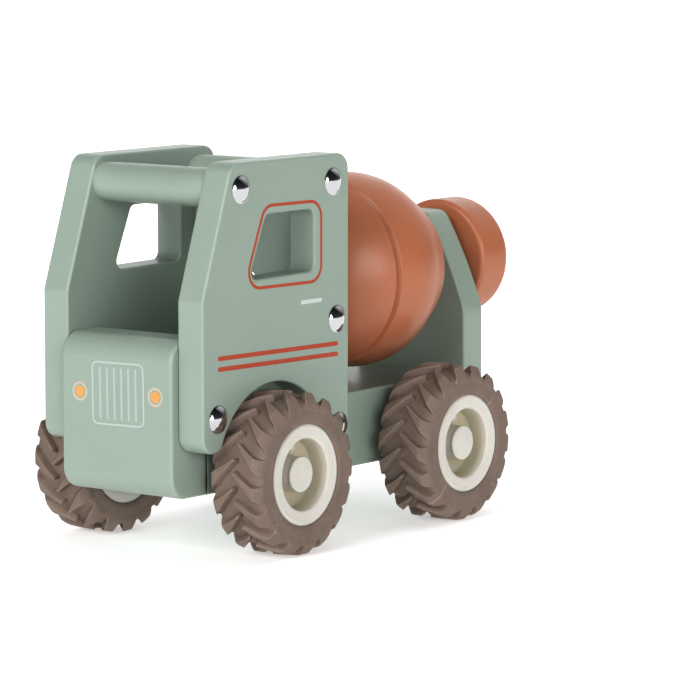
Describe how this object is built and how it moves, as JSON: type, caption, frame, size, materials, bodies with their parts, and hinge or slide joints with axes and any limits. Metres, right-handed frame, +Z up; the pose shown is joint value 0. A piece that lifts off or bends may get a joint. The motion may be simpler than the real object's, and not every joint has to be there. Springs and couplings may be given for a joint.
{
  "type": "push along truck",
  "caption": "Wooden push along toy concrete mixer truck with an open cab, rolling rubber-tyred wheels and a drum that turns by hand.",
  "frame": {"origin": "bottom centre of the whole toy, on the ground between the wheels", "axes": "+Z up, the cab faces -Y, the truck's left side is +X"},
  "size_m": [0.1056, 0.209, 0.1404],
  "materials": {
    "green_paint": "satin paint on solid wood",
    "terracotta_paint": "satin paint on turned wood",
    "bare_wood": "sanded, unpainted",
    "screw_chrome": "polished",
    "axle_steel": "plain",
    "tyre": "matt moulded rubber",
    "hub_plastic": "fine matt moulded plastic"
  },
  "bodies": {
    "body": {"chassis_block": "green_paint", "front_block": "green_paint", "left_side_panel": "green_paint", "right_side_panel": "green_paint", "cab_back_wall": "green_paint", "front_roof_dowel": "green_paint", "rear_roof_dowel": "green_paint", "rear_support_board": "green_paint", "left_cap_screws": "screw_chrome", "right_cap_screws": "screw_chrome", "rear_board_screws": "axle_steel"},
    "drum": {"mixing_drum": "terracotta_paint", "drum_pivot_screw": "screw_chrome", "drum_rear_shaft": "bare_wood", "spout_spacer": "bare_wood", "drum_spout": "terracotta_paint"},
    "front_wheels": {"front_axle": "axle_steel", "front_left_tyre": "tyre", "front_right_tyre": "tyre", "front_left_hub": "hub_plastic", "front_right_hub": "hub_plastic", "front_left_cap": "hub_plastic", "front_right_cap": "hub_plastic", "front_axle_washers": "axle_steel"},
    "rear_wheels": {"rear_axle": "axle_steel", "rear_left_tyre": "tyre", "rear_right_tyre": "tyre", "rear_left_hub": "hub_plastic", "rear_right_hub": "hub_plastic", "rear_left_cap": "hub_plastic", "rear_right_cap": "hub_plastic", "rear_axle_washers": "axle_steel"}
  },
  "joints": [
    {"name": "drum_spin", "type": "hinge", "parent": "body", "child": "drum", "pos_m": [0, 0.0756, 0.0916], "axis": [0, 1, 0], "continuous": true},
    {"name": "front_wheels_roll", "type": "hinge", "parent": "body", "child": "front_wheels", "pos_m": [0, -0.06245, 0.0292], "axis": [1, 0, 0], "continuous": true},
    {"name": "rear_wheels_roll", "type": "hinge", "parent": "body", "child": "rear_wheels", "pos_m": [0, 0.03505, 0.0292], "axis": [1, 0, 0], "continuous": true}
  ]
}
